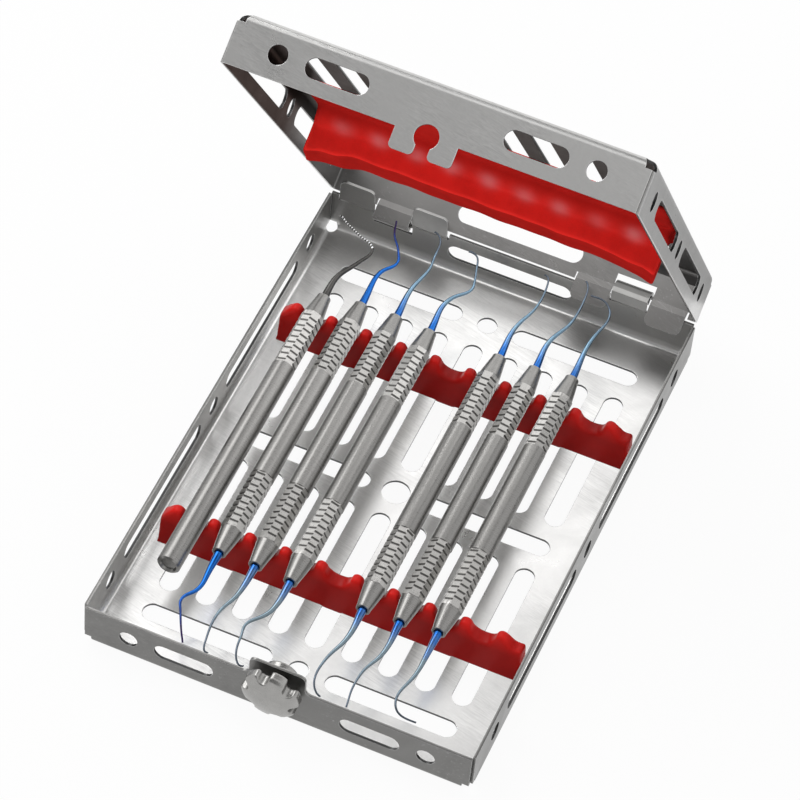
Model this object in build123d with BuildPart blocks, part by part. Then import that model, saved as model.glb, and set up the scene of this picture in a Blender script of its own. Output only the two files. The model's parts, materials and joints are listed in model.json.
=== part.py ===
from build123d import *
import os
from math import atan2, cos, degrees, radians, sin, sqrt

# Dental instrument cassette: a folded steel tray and lid on one hinge line, a
# quarter-turn latch, silicone rails that seat nine handles, a silicone pad in
# the lid, and seven instruments.
#
# Frame: +Z up, +X to the right, the latch at the front (-Y). The origin is the
# middle of the base's underside. The lid is modelled standing open.

# ------------------------------------------------------------------ sheet metal
sheet = 0.9                     # thickness of the folded steel
bend_radius = 2.4               # outside radius of every panel bend
width = 126.0                   # outside width of base and lid
base_length = 181.6             # outside, front to rear
base_height = 16.5              # floor underside to rim
lid_height = 15.7               # panel outside to rim
rim_gap = 0.3                   # between the two rims when closed
front_gap = 0.3                 # between the lid's front wall and the base's
open_angle = 58.05              # lid above its closed position, degrees

# corners of a folded half
seam_inset = 0.75               # front and rear walls stop inside the side walls
seam_setback = 1.3              # side walls stop short of front and rear faces
relief_diameter = 4.5           # round relief where three bends meet
relief_inset = (1.5, 1.8)       # its centre from the outside faces
relief_height = 3.0

# ---------------------------------------------------------------- panel pattern
column_pitch = 12.0             # between lengthwise slots
column_count = 9
column_slot_width = 6.4
column_slot_start = 9.1         # from the middle
column_slot_end = 64.4
cross_slot_width = 6.5
cross_slot_start = 8.75
cross_slot_end = 51.2
cross_row = 73.5                # outer cross rows from the middle
row_hole_diameter = 6.5
middle_hole_diameter = 9.0
lid_pattern_shift = 0.3         # the lid's pattern sits this far to the rear

# ---------------------------------------------------------------- wall pattern
wall_hole_diameter = 6.0
wall_hole_x = 48.0
wall_slot_x = 30.0
wall_slot_length = 19.3
wall_slot_height = 6.2
side_slot_start = 9.3           # from the middle of the side wall
side_slot_end = 63.9
rear_slot_length = 42.6
base_wall_row = 7.6             # holes' centre below the hinge axis
lid_wall_row = 7.4              # holes' centre above the hinge axis

# ----------------------------------------------------------------------- hinge
wall_setback = 0.3              # rear faces in front of the hinge axis
leaf_step = 1.1                 # the leaves are stepped inwards by this much
step_low = 2.4                  # the step runs between these distances
step_high = 0.4                 # from the hinge axis
leaf_width = 12.0
leaf_pitch = 12.6
leaf_middle = 40.5              # the hook's middle from the tray's middle
base_guide_reach = 8.0          # guide leaves' free edge beyond the axis
lid_guide_reach = 6.2
guide_corner = 2.0
hook_radius = 3.6               # inside radius of the hook about the axis
hook_end_angle = 15.0           # the hook ends this far past the level
hook_slot_clearance = 0.18
hook_slot_top = 6.4             # far edge of the slot that lets the hook through
hook_slot_side = 0.65           # beside the hook

# ----------------------------------------------------------------------- latch
tab_width = 18.0
tab_reach = 7.65                # latch tab's top above the hinge axis
tab_corner = 2.0
tongue_width = 18.9
tongue_reach = 6.2
tongue_corner = 1.4
keyhole_diameter = 7.4
key_neck = 4.4                  # way in to the keyhole
key_diameter = 7.0              # locking length of the shaft
key_flats = 4.0                 # across its flats
journal_diameter = 6.4
journal_clearance = 0.08        # radial, in the tab's hole
spigot_diameter = 4.0           # knob and cap are pressed on this
spigot_depth = 2.0
knob_gap = 1.1                  # between the closed lid and the knob's back
knob_radius = 9.3
knob_thickness = 3.5            # at the rim
knob_dome = 1.8                 # its middle stands this much further out
knob_lobes = 6
knob_turn = 16.0                # first lobe above +X, degrees
notch_radius = 1.7              # of the round notches between the lobes
notch_depth = 2.6
lobe_corner = 1.0
knob_edge = 0.9
washer_diameter = 10.4
washer_stock = 0.4
washer_dish = 0.6
cap_radius = 5.5
cap_thickness = 2.4
cap_edge = 0.6
running_gap = 0.05              # end play between turning and fixed faces

# ----------------------------------------------------------- rails and lid pad
seat_pitch = 11.8
seat_count = 9
seat_floor = 10.95              # lowest point of a seat above the underside
seat_gap = 0.3                  # between a handle and the silicone
crest_height = 16.2
rail_top_width = 3.0
rail_foot_width = 8.5
rail_left_end = -58.2
rail_right_end = 60.3
rail_lip_height = 13.0          # upturned lip at the right end
rail_dip = (57.4, 12.3)         # low point before the lip
end_slope = 50.0                # the last crest falls off at this angle
rear_rail_y = 42.6
front_rail_y = -45.0
plug_length = 8.0               # silicone plugs in the panel slots
plug_clearance = 0.2
plug_columns = (-3, 0, 3)

pad_front = 78.6                # faces of the lid pad in front of the hinge
pad_rear = 57.6
pad_lip = 0.15                  # its front edge is this much shallower
pad_gap = 0.3                   # above the handles when the lid is closed
pad_half = 57.3                 # half its length at the front face
pad_skew = 3.0                  # its rear corners sit this much to the left
pad_droop = 1.6                 # its ends hang this much lower
pad_droop_run = 6.0             # over this much of each end
pad_flare = 5.0                 # hollow of its front face into the plate
pad_edge = 0.7
plate_front = 114.0             # thin plate that carries the pad on the panel
plate_rear = 56.0
plate_half = 59.0
plate_thickness = 1.3

# ----------------------------------------------------------------- instruments
handle_diameter = 7.5
collar_diameter = 4.6
collar_length = 0.8
handle_half = 53.3              # middle of the handle to the collar's end
cone_start = 44.5
grip_start = 22.0
groove_count = 9
groove_pitch = 2.45
groove_width = 0.7
groove_depth = 0.3
probe_tail = -61.9              # plain end of the probe's handle, from its middle
tail_chamfer = 0.5
tip_diameter = 2.7
point_diameter = 0.6
taper_power = 2.1
tang_length = 8.0
tip_sections = 15
rise_power = 1.5

# Each tip: its outline from the collar, as (across, along) points in mm, and
# how far its point stands above or below the handle's axis.
probe_curve = [(0, 0), (0, 5.4), (0.8, 9.6), (3.6, 14.2), (6.1, 18.4), (7.1, 20.8), (6.4, 22.5),
               (2.8, 24.0), (-0.9, 25.5), (-7.3, 28.4)]
rear_curves = {
    2: [(0, 0), (-0.2, 8.0), (0.6, 14.1), (3.0, 17.1), (4.1, 18.9), (3.7, 20.6), (1.7, 24.3),
        (-0.6, 27.2), (-2.2, 32.1)],
    3: [(0, 0), (0.1, 12.2), (1.3, 16.6), (2.4, 21.0), (2.1, 26.3), (1.7, 30.8), (0.7, 32.2),
        (-1.3, 33.1)],
    4: [(0, 0), (0.2, 12.4), (0.9, 14.0), (3.9, 17.4), (5.7, 19.5), (5.8, 21.0), (3.9, 28.6),
        (3.0, 30.7), (1.9, 31.5), (-0.3, 31.6)],
    6: [(0, 0), (0.1, 12.1), (1.1, 15.5), (2.9, 19.8), (3.5, 22.3), (3.6, 29.9), (3.1, 31.7),
        (1.4, 32.8)],
    7: [(0, 0), (0.1, 11.5), (1.2, 14.5), (3.3, 18.7), (4.0, 21.3), (4.5, 30.2), (4.1, 32.7),
        (2.6, 34.8)],
    8: [(0, 0), (0.0, 15.2), (0.9, 19.2), (2.0, 22.9), (2.1, 25.3), (0.2, 28.8), (-2.0, 30.0),
        (-6.1, 30.1)],
}
front_curves = {
    2: [(0, 0), (0.0, 8.1), (-0.2, 13.2), (-1.1, 15.1), (-2.9, 17.3), (-3.5, 19.1), (-2.7, 21.4),
        (1.3, 29.0), (2.9, 31.6)],
    3: [(0, 0), (-0.3, 9.0), (-1.0, 12.5), (-2.8, 17.0), (-3.5, 20.5), (-2.8, 29.3), (-2.1, 31.4),
        (-0.6, 32.1)],
    4: [(0, 0), (-0.5, 9.4), (-1.3, 12.0), (-4.6, 16.2), (-6.1, 18.6), (-5.9, 20.9), (-4.1, 29.3),
        (-3.0, 30.7), (-0.9, 30.9)],
    6: [(0, 0), (0.0, 9.1), (-0.7, 12.6), (-2.6, 17.6), (-3.5, 21.2), (-2.9, 28.6), (-1.6, 30.3),
        (0.3, 31.3)],
    7: [(0, 0), (0.0, 9.7), (-0.9, 13.7), (-2.9, 18.2), (-3.7, 21.8), (-3.9, 26.1), (-3.1, 32.0)],
    8: [(0, 0), (-0.1, 10.6), (-0.4, 15.2), (-1.6, 19.8), (-2.6, 23.7), (-1.6, 27.8), (0.2, 29.4),
        (2.7, 30.0), (5.9, 30.0)],
}
handle_shift = {1: -3.3, 2: -1.1, 3: -0.8, 4: -1.6, 6: -1.3, 7: -0.7, 8: 0.9}
rear_rise = {1: 6.0, 2: 6.0, 3: 6.0, 4: 5.5, 6: 6.0, 7: 7.0, 8: 5.0}
front_rise = {2: -4.0, 3: -4.0, 4: -4.0, 6: -4.0, 7: -4.0, 8: -3.5}

# --------------------------------------------------------------- derived places
half_rim = rim_gap / 2
lid_length = base_length + front_gap + sheet
hinge_y = base_length / 2 + wall_setback
hinge_z = base_height + half_rim
axis_z = seat_floor + seat_gap + handle_diameter / 2
tilt = radians(open_angle)

# Both halves are laid out alike about the hinge axis: x along it, y to the rear
# and z from the half's own panel towards the other half.
base_frame = Plane(origin=(0, hinge_y, hinge_z), x_dir=(1, 0, 0), z_dir=(0, 0, 1))
lid_frame = Plane(origin=(0, hinge_y, hinge_z), x_dir=(-1, 0, 0), z_dir=(0, -sin(tilt), -cos(tilt)))
# The pad is laid out with the closed lid's own directions instead.
pad_frame = Plane(origin=(0, hinge_y, hinge_z), x_dir=(1, 0, 0), z_dir=(0, sin(tilt), cos(tilt)))


def inside(frame, plane):
    """A plane given in frame's own coordinates, placed in the model."""
    return Plane(frame.location * plane.location)


# ================================================================ folded halves
def folded_box(frame, length, height):
    """An open box of sheet: one panel and four walls that rise to the rim."""
    floor = inside(frame, Plane.XY.offset(-half_rim - height).move(
        Location((0, -wall_setback - length / 2, 0))))
    up = Axis(floor.origin, floor.z_dir)
    with BuildSketch(floor) as outline:
        Rectangle(width, length)
    extrude(outline.sketch, amount=height)
    fillet(edges().group_by(up)[0], radius=bend_radius)
    offset(amount=-sheet, openings=faces().sort_by(up)[-1])
    cut_corners(floor, length, height)


def cut_corners(floor, length, height):
    """Open the four wall seams and drill the relief where the bends meet."""
    with BuildSketch(floor) as seams:
        for side in (-1, 1):
            for end in (-1, 1):
                middle_y = end * (length - seam_setback) / 2
                with Locations((side * (width - seam_inset) / 2, middle_y)):
                    Rectangle(seam_inset, seam_setback)
                gap = seam_setback - sheet
                with Locations((side * (width - sheet) / 2, end * (length / 2 - sheet - gap / 2))):
                    Rectangle(sheet, gap)
    extrude(seams.sketch, amount=height, mode=Mode.SUBTRACT)
    spread = (width - 2 * relief_inset[0], length - 2 * relief_inset[1])
    with BuildSketch(floor) as reliefs:
        with GridLocations(*spread, 2, 2):
            Circle(relief_diameter / 2)
    extrude(reliefs.sketch, amount=relief_height, mode=Mode.SUBTRACT)


def punch_panel(frame, length, height, shift):
    """Nine columns of long slots, three cross rows and the holes between them."""
    middle = -wall_setback - length / 2 + shift
    plane = inside(frame, Plane.XY.offset(-half_rim - height).move(Location((0, middle, 0))))
    column_length = column_slot_end - column_slot_start
    cross_length = cross_slot_end - cross_slot_start
    with BuildSketch(plane) as pattern:
        with GridLocations(column_pitch, column_slot_start + column_slot_end, column_count, 2):
            SlotOverall(column_length, column_slot_width, rotation=90)
        with GridLocations(cross_slot_start + cross_slot_end, cross_row, 2, 3):
            SlotOverall(cross_length, cross_slot_width)
        with GridLocations(0, 2 * cross_row, 1, 2):
            Circle(row_hole_diameter / 2)
        Circle(middle_hole_diameter / 2)
    extrude(pattern.sketch, amount=2 * sheet, both=True, mode=Mode.SUBTRACT)


def punch_walls(frame, length, row, shift):
    """The holes and slots in the front, side and rear walls."""
    with BuildSketch(inside(frame, Plane.XZ.offset(wall_setback + length))) as front:
        with Locations((0, -row)):
            with GridLocations(2 * wall_hole_x, 0, 2, 1):
                Circle(wall_hole_diameter / 2)
            with GridLocations(2 * wall_slot_x, 0, 2, 1):
                SlotOverall(wall_slot_length, wall_slot_height)
    extrude(front.sketch, amount=2 * sheet, both=True, mode=Mode.SUBTRACT)
    middle = -wall_setback - length / 2 + shift
    with BuildSketch(inside(frame, Plane.YZ)) as sides:
        with Locations((middle, -row)):
            with GridLocations(cross_row, 0, 3, 1):
                Circle(wall_hole_diameter / 2)
            with GridLocations(side_slot_start + side_slot_end, 0, 2, 1):
                SlotOverall(side_slot_end - side_slot_start, wall_slot_height)
    extrude(sides.sketch, amount=width, both=True, mode=Mode.SUBTRACT)
    with BuildSketch(inside(frame, Plane.XZ.offset(wall_setback))) as rear:
        with Locations((0, -lid_wall_row)):
            SlotOverall(rear_slot_length, wall_slot_height)
    extrude(rear.sketch, amount=2 * sheet, both=True, mode=Mode.SUBTRACT)


# ======================================================================== hinge
def leaf_step_points():
    """Section of the step, from the wall's plane into the leaves' plane."""
    outer = -wall_setback
    return [(outer - leaf_step, -step_high), (outer, -step_low), (outer - sheet, -step_low),
            (outer - sheet - leaf_step, -step_high)]


def clear_rim(frame, middle):
    """Cut the wall away where a stepped leaf leaves it."""
    slit = leaf_pitch - leaf_width
    with BuildSketch(inside(frame, Plane.XZ.offset(wall_setback))) as notch:
        with Locations((middle, (half_rim - step_low) / 2 - half_rim)):
            Rectangle(leaf_width + 2 * slit, step_low - half_rim)
    extrude(notch.sketch, amount=sheet, mode=Mode.SUBTRACT)


def guide_leaf(frame, middle, reach):
    """A flat leaf with rounded corners that lies inside the other half's wall."""
    clear_rim(frame, middle)
    with BuildSketch(inside(frame, Plane.YZ.offset(middle))) as step:
        with BuildLine():
            Polyline(*leaf_step_points(), close=True)
        make_face()
    extrude(step.sketch, amount=leaf_width / 2, both=True)
    with BuildSketch(inside(frame, Plane.XZ.offset(wall_setback + leaf_step))) as leaf:
        with Locations((middle, (reach - step_high) / 2)):
            Rectangle(leaf_width, reach + step_high)
        fillet(leaf.vertices().group_by(Axis.Y)[-1], radius=guide_corner)
    extrude(leaf.sketch, amount=sheet)


def hook_leaf(frame, middle):
    """A leaf rolled round the hinge axis, through a slot in the other half."""
    clear_rim(frame, middle)
    outer = -wall_setback - leaf_step
    inner = outer - sheet
    big = hook_radius + sheet
    end = -radians(hook_end_angle)
    with BuildSketch(inside(frame, Plane.YZ.offset(middle))) as roll:
        with BuildLine():
            Polyline((outer, sqrt(hook_radius ** 2 - outer ** 2)), *leaf_step_points(),
                     (inner, sqrt(big ** 2 - inner ** 2)))
            ThreePointArc((inner, sqrt(big ** 2 - inner ** 2)), (0, big), (big * cos(end), big * sin(end)))
            Line((big * cos(end), big * sin(end)), (hook_radius * cos(end), hook_radius * sin(end)))
            ThreePointArc((hook_radius * cos(end), hook_radius * sin(end)), (0, hook_radius),
                          (outer, sqrt(hook_radius ** 2 - outer ** 2)))
        make_face()
    extrude(roll.sketch, amount=leaf_width / 2, both=True)


def hook_slot(frame, middle):
    """The slot below the rim that the other half's hook runs through."""
    near = sqrt((hook_radius - hook_slot_clearance) ** 2 - (wall_setback + sheet) ** 2)
    with BuildSketch(inside(frame, Plane.XZ.offset(wall_setback))) as slot:
        with Locations((middle, -(near + hook_slot_top) / 2)):
            Rectangle(leaf_width + 2 * hook_slot_side, hook_slot_top - near)
    extrude(slot.sketch, amount=2 * sheet, both=True, mode=Mode.SUBTRACT)


def hinge_side(frame, guide_reach):
    """Two guides either side of the other half's hook, and this half's own hook."""
    hook_slot(frame, -leaf_middle)
    guide_leaf(frame, -leaf_middle - leaf_pitch, guide_reach)
    guide_leaf(frame, -leaf_middle + leaf_pitch, guide_reach)
    hook_leaf(frame, leaf_middle)


# ============================================================= base tray and lid
with BuildPart() as base_tray:
    folded_box(base_frame, base_length, base_height)
    punch_panel(base_frame, base_length, base_height, 0)
    punch_walls(base_frame, base_length, base_wall_row, 0)
    hinge_side(base_frame, base_guide_reach)
    with BuildSketch(inside(base_frame, Plane.XZ.offset(wall_setback + base_length))) as tab:
        with Locations((0, (tab_reach - half_rim) / 2)):
            Rectangle(tab_width, tab_reach + half_rim)
        with Locations((0, -half_rim - tab_corner)):
            Rectangle(tab_width + 4 * tab_corner, 2 * tab_corner)
        feet = tab.vertices().group_by(Axis.Y)[-2].sort_by(Axis.X)
        fillet([feet[1], feet[-2]] + list(tab.vertices().group_by(Axis.Y)[-1]), radius=tab_corner)
    extrude(tab.sketch, amount=-sheet)
    with BuildSketch(inside(base_frame, Plane.XZ.offset(wall_setback + base_length))) as journal_hole:
        Circle(journal_diameter / 2 + journal_clearance)
    extrude(journal_hole.sketch, amount=-sheet, mode=Mode.SUBTRACT)

with BuildPart() as lid:
    folded_box(lid_frame, lid_length, lid_height)
    punch_panel(lid_frame, lid_length, lid_height, lid_pattern_shift)
    punch_walls(lid_frame, lid_length, lid_wall_row, lid_pattern_shift)
    hinge_side(lid_frame, lid_guide_reach)
    with BuildSketch(inside(lid_frame, Plane.XZ.offset(wall_setback + lid_length))) as tongue:
        with Locations((0, tongue_reach / 2 - keyhole_diameter / 2)):
            Rectangle(tongue_width, tongue_reach + keyhole_diameter)
        Circle(keyhole_diameter / 2, mode=Mode.SUBTRACT)
        with Locations((0, tongue_reach / 2)):
            Rectangle(key_neck, tongue_reach, mode=Mode.SUBTRACT)
        fillet(tongue.vertices().group_by(Axis.Y)[-1], radius=tongue_corner)
    extrude(tongue.sketch, amount=-sheet)
    with BuildSketch(inside(lid_frame, Plane.XZ.offset(wall_setback + lid_length))) as keyhole:
        Circle(keyhole_diameter / 2)
    extrude(keyhole.sketch, amount=-sheet, mode=Mode.SUBTRACT)


# ======================================================================== latch
# Each piece is turned about one axis, square to the front wall.
wall_front = base_length / 2            # base's front face, forward of the origin
lid_front = wall_front + front_gap + sheet
knob_back = lid_front + knob_gap
washer_front = wall_front - sheet - running_gap
cap_front = washer_front - washer_stock - washer_dish


def across_latch(forward):
    """The plane square to the latch's axis at a distance forward of the origin."""
    return Plane(origin=(0, -forward, hinge_z), x_dir=(1, 0, 0), z_dir=(0, -1, 0))


latch_section = Plane(origin=(0, 0, hinge_z), x_dir=(0, -1, 0), z_dir=(1, 0, 0))
latch_axis = Axis((0, 0, hinge_z), (0, -1, 0))

with BuildPart() as latch_knob:
    with BuildSketch(latch_section):
        with BuildLine():
            knob_front = knob_back + knob_thickness
            Polyline((knob_front + knob_dome, 0), (knob_back, 0), (knob_back, knob_radius),
                     (knob_front - knob_edge, knob_radius))
            Line((knob_front - knob_edge, knob_radius), (knob_front, knob_radius - knob_edge))
            ThreePointArc((knob_front, knob_radius - knob_edge),
                          (knob_front + knob_dome * 3 / 4, knob_radius / 2), (knob_front + knob_dome, 0))
        make_face()
    revolve(axis=latch_axis)
    with BuildSketch(across_latch(knob_back)) as star:
        Circle(knob_radius)
        with PolarLocations(knob_radius - notch_depth + notch_radius, knob_lobes,
                            start_angle=knob_turn + 180 / knob_lobes):
            Circle(notch_radius, mode=Mode.SUBTRACT)
        fillet(star.vertices(), radius=lobe_corner)
    extrude(amount=knob_thickness + knob_dome, mode=Mode.INTERSECT)
    with BuildSketch(across_latch(knob_back)):
        Circle(spigot_diameter / 2)
    extrude(amount=spigot_depth, mode=Mode.SUBTRACT)

with BuildPart() as latch_shaft:
    key_back = wall_front + running_gap
    with BuildSketch(across_latch(key_back)):
        Circle(key_diameter / 2)
        Rectangle(key_flats, key_diameter, mode=Mode.INTERSECT)
    extrude(amount=knob_back - key_back)
    with BuildSketch(across_latch(key_back)):
        Circle(journal_diameter / 2)
    extrude(amount=cap_front - key_back)
    with BuildSketch(across_latch(cap_front - spigot_depth)):
        Circle(spigot_diameter / 2)
    extrude(amount=knob_back + spigot_depth - cap_front + spigot_depth)

with BuildPart() as spring_washer:
    with BuildSketch(latch_section):
        with BuildLine():
            bore = journal_diameter / 2 + journal_clearance
            rim = washer_diameter / 2
            Polyline((cap_front, bore), (cap_front + washer_stock, bore), (washer_front, rim),
                     (washer_front - washer_stock, rim), close=True)
        make_face()
    revolve(axis=latch_axis)

with BuildPart() as retaining_cap:
    with BuildSketch(across_latch(cap_front)):
        Circle(cap_radius)
    extrude(amount=-cap_thickness)
    fillet(retaining_cap.faces().sort_by(Axis.Y)[-1].edges(), radius=cap_edge)
    with BuildSketch(across_latch(cap_front)):
        Circle(spigot_diameter / 2)
    extrude(amount=-spigot_depth, mode=Mode.SUBTRACT)


# ======================================================================== rails
seat_radius = handle_diameter / 2 + seat_gap
crest_drop = axis_z - crest_height
crest_radius = ((seat_pitch / 2) ** 2 + crest_drop ** 2 - seat_radius ** 2) / (2 * (seat_radius - crest_drop))
crest_z = crest_height - crest_radius
lean = degrees(atan2(axis_z - crest_z, seat_pitch / 2))


def seat_x(number):
    """The middle of a seat, counted from the left from 1."""
    return (number - (seat_count + 1) / 2) * seat_pitch


def wave_outline():
    """The rail seen from the front: seats concentric with the handles, round crests."""
    for number in range(1, seat_count + 1):
        CenterArc((seat_x(number), axis_z), seat_radius, 180 + lean, 180 - 2 * lean)
    for number in range(1, seat_count):
        CenterArc((seat_x(number) + seat_pitch / 2, crest_z), crest_radius, lean, 180 - 2 * lean)
    left_x = seat_x(1) - seat_pitch / 2
    right_x = seat_x(seat_count) + seat_pitch / 2
    left = CenterArc((left_x, crest_z), crest_radius, lean, 90 + end_slope - lean)
    right = CenterArc((right_x, crest_z), crest_radius, 180 - lean, -(90 + end_slope - lean))
    fall = (left @ 1).X - rail_left_end
    Polyline(left @ 1, (rail_left_end, (left @ 1).Y - fall * sin(radians(end_slope)) / cos(radians(end_slope))),
             (rail_left_end, sheet), (rail_right_end, sheet), (rail_right_end, rail_lip_height),
             rail_dip, right @ 1)


def rail_section():
    """The rail seen from its end: a wide foot and a rounded top."""
    with BuildLine() as outline:
        Polyline((-rail_top_width / 2, crest_height), (-rail_foot_width / 2, sheet),
                 (rail_foot_width / 2, sheet), (rail_top_width / 2, crest_height), close=True)
    make_face(outline.edges())


def rail(y):
    """One silicone rail across the tray, plugged into the panel's slots."""
    with BuildPart() as bar:
        with BuildSketch(Plane.XZ.offset(-y)):
            with BuildLine():
                wave_outline()
            make_face()
        extrude(amount=rail_foot_width, both=True)
        with BuildSketch(Plane(origin=(-width / 2, y, 0), x_dir=(0, 1, 0), z_dir=(1, 0, 0))) as section:
            rail_section()
        extrude(section.sketch, amount=width, mode=Mode.INTERSECT)
        with BuildSketch(Plane.XY.offset(plug_clearance)) as plugs:
            for column in plug_columns:
                with Locations((column * column_pitch, y)):
                    Rectangle(column_slot_width - 2 * plug_clearance, plug_length)
        extrude(plugs.sketch, amount=sheet - plug_clearance)
    return bar


front_rail = rail(front_rail_y)
rear_rail = rail(rear_rail_y)

# ====================================================================== lid pad
pad_top = lid_height + half_rim - sheet
pad_low = axis_z + handle_diameter / 2 - hinge_z + pad_gap
plate_low = pad_top - plate_thickness
pad_depth = pad_front - pad_rear

with BuildPart() as lid_pad:
    with BuildSketch(inside(pad_frame, Plane.YZ)) as section:
        with BuildLine():
            Polyline((-pad_front, plate_low - pad_flare), (-pad_front, pad_low - 2 * pad_droop),
                     (-pad_rear, pad_low - 2 * pad_droop), (-pad_rear, pad_top),
                     (-pad_front - pad_flare, pad_top), (-pad_front - pad_flare, plate_low))
            RadiusArc((-pad_front - pad_flare, plate_low), (-pad_front, plate_low - pad_flare), -pad_flare)
        make_face()
    extrude(section.sketch, amount=width, both=True)
    with BuildSketch(inside(pad_frame, Plane.XZ.offset(pad_front + pad_flare))) as ends:
        with BuildLine():
            reach = (pad_front + pad_flare - pad_rear) / pad_depth
            start = pad_low + pad_lip * reach
            shift = pad_skew * (reach - 1)
            level = pad_half - pad_droop_run
            Polyline((shift - level, start), (shift + level, start))
            Polyline((shift + pad_half, start - pad_droop), (shift + pad_half, 2 * pad_top),
                     (shift - pad_half, 2 * pad_top), (shift - pad_half, start - pad_droop))
            for side in (1, -1):
                Spline((shift + side * level, start), (shift + side * pad_half, start - pad_droop),
                       tangents=[(side, 0), (side, -pad_droop / pad_droop_run)])
        make_face()
    backwards = pad_frame.y_dir * pad_depth - pad_frame.x_dir * pad_skew - pad_frame.z_dir * pad_lip
    extrude(ends.sketch, amount=base_length, dir=backwards, mode=Mode.INTERSECT)
    with BuildSketch(inside(pad_frame, Plane.XY.offset(plate_low))) as plate:
        with Locations((0, -(plate_front + plate_rear) / 2)):
            RectangleRounded(2 * plate_half, plate_front - plate_rear, pad_edge)
    extrude(plate.sketch, amount=plate_thickness)
    with BuildSketch(inside(pad_frame, Plane.XY.offset(pad_top))) as plugs:
        for column in plug_columns:
            with Locations((column * column_pitch, -(pad_front + pad_rear) / 2)):
                Rectangle(column_slot_width - 2 * plug_clearance, plug_length)
    extrude(plugs.sketch, amount=sheet - plug_clearance)


# ================================================================== instruments
def handle_section(ends):
    """Half the section of a grooved handle, from the axis out, with its cones."""
    radius = handle_diameter / 2
    collar = collar_diameter / 2
    corners = [(0, handle_half), (collar, handle_half), (collar, handle_half - collar_length),
               (radius, cone_start)]
    if ends == 2:
        corners += [(x, -y) for x, y in reversed(corners)]
    else:
        corners += [(radius, probe_tail + tail_chamfer), (radius - tail_chamfer, probe_tail), (0, probe_tail)]
    with BuildLine() as outline:
        Polyline(*corners, close=True)
    make_face(outline.edges())
    middle = grip_start + (cone_start - grip_start) / 2
    for end in range(ends):
        with Locations((radius, middle * (1 - 2 * end))):
            with GridLocations(0, groove_pitch, 1, groove_count):
                Rectangle(2 * groove_depth, groove_width, mode=Mode.SUBTRACT)


def handle(number, ends):
    """One handle lying in its seat, bored at each working end for a tip."""
    middle = Vector(seat_x(number), handle_shift[number], axis_z)
    with BuildPart() as bar:
        with BuildSketch(Plane(origin=middle, x_dir=(1, 0, 0), z_dir=(0, 0, 1))) as section:
            handle_section(ends)
        revolve(section.sketch, axis=Axis(middle, (0, 1, 0)))
        for end in range(ends):
            forward = 2 * end - 1
            face = middle - Vector(0, forward * handle_half, 0)
            with BuildSketch(Plane(origin=face, x_dir=(1, 0, 0), z_dir=(0, forward, 0))) as bore:
                Circle(tip_diameter / 2)
            extrude(bore.sketch, amount=tang_length, mode=Mode.SUBTRACT)
    return bar


def tip(number, end, curve, rise):
    """A tapered working tip: round sections along its curve, and a tang in the handle."""
    root = Vector(seat_x(number), handle_shift[number] + end * handle_half, axis_z)
    reach = max(along for across, along in curve)
    points = [root + Vector(across, end * along, rise * (along / reach) ** rise_power)
              for across, along in curve]
    with BuildPart() as wire:
        path = Spline(*points, tangents=[(0, end, 0), points[-1] - points[-2]], mode=Mode.PRIVATE)
        for section in range(tip_sections + 1):
            along = section / tip_sections
            size = point_diameter + (tip_diameter - point_diameter) * (1 - along) ** taper_power
            with BuildSketch(Plane(origin=path @ along, x_dir=(0, 0, 1), z_dir=path % along)):
                Circle(size / 2)
        loft()
        with BuildSketch(Plane(origin=root, x_dir=(1, 0, 0), z_dir=(0, -end, 0))):
            Circle(tip_diameter / 2)
        extrude(amount=tang_length)
    return wire


pieces = {
    "base_tray": base_tray,
    "lid": lid,
    "front_rail": front_rail,
    "rear_rail": rear_rail,
    "lid_pad": lid_pad,
    "latch_knob": latch_knob,
    "latch_shaft": latch_shaft,
    "spring_washer": spring_washer,
    "retaining_cap": retaining_cap,
    "probe_handle": handle(1, 1),
    "probe_tip": tip(1, 1, probe_curve, rear_rise[1]),
}
for number in rear_curves:
    pieces[f"handle_{number}"] = handle(number, 2)
    pieces[f"rear_tip_{number}"] = tip(number, 1, rear_curves[number], rear_rise[number])
    pieces[f"front_tip_{number}"] = tip(number, -1, front_curves[number], front_rise[number])

os.makedirs("parts", exist_ok=True)
for name, piece in pieces.items():
    piece.part.label = name
    export_step(piece.part, f"parts/{name}.step")
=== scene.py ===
"""Finishes, moulded silicone, turned grips, stage and lights of a steel instrument cassette."""

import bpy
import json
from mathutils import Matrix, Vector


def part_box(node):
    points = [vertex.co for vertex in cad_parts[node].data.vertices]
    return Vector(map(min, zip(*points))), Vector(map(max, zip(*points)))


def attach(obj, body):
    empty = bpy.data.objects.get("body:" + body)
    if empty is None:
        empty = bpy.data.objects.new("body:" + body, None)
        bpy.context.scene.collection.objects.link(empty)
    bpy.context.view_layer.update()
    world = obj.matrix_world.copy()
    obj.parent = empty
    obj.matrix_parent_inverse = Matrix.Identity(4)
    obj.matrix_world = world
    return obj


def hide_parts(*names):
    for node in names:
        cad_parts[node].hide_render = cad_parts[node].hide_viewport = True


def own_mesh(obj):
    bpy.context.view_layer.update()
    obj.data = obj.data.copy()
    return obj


bl_info = {
    "name": "Instrument Cassette",
    "version": (1, 0, 0),
    "blender": (4, 5, 0),
    "location": "3D View > Sidebar > Cassette",
    "description": "Dresses a folded steel instrument cassette and its instruments",
    "category": "Object",
}

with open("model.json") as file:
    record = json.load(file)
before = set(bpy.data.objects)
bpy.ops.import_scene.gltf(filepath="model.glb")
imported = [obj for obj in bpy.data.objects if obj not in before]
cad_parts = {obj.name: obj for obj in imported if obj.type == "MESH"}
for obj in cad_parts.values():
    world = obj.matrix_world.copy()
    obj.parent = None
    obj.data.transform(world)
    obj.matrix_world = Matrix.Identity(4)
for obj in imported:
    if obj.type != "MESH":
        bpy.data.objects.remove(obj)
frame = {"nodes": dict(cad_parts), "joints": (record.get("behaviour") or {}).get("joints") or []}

import json
import math

import bmesh
import bpy
from mathutils import Matrix, Vector

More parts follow.
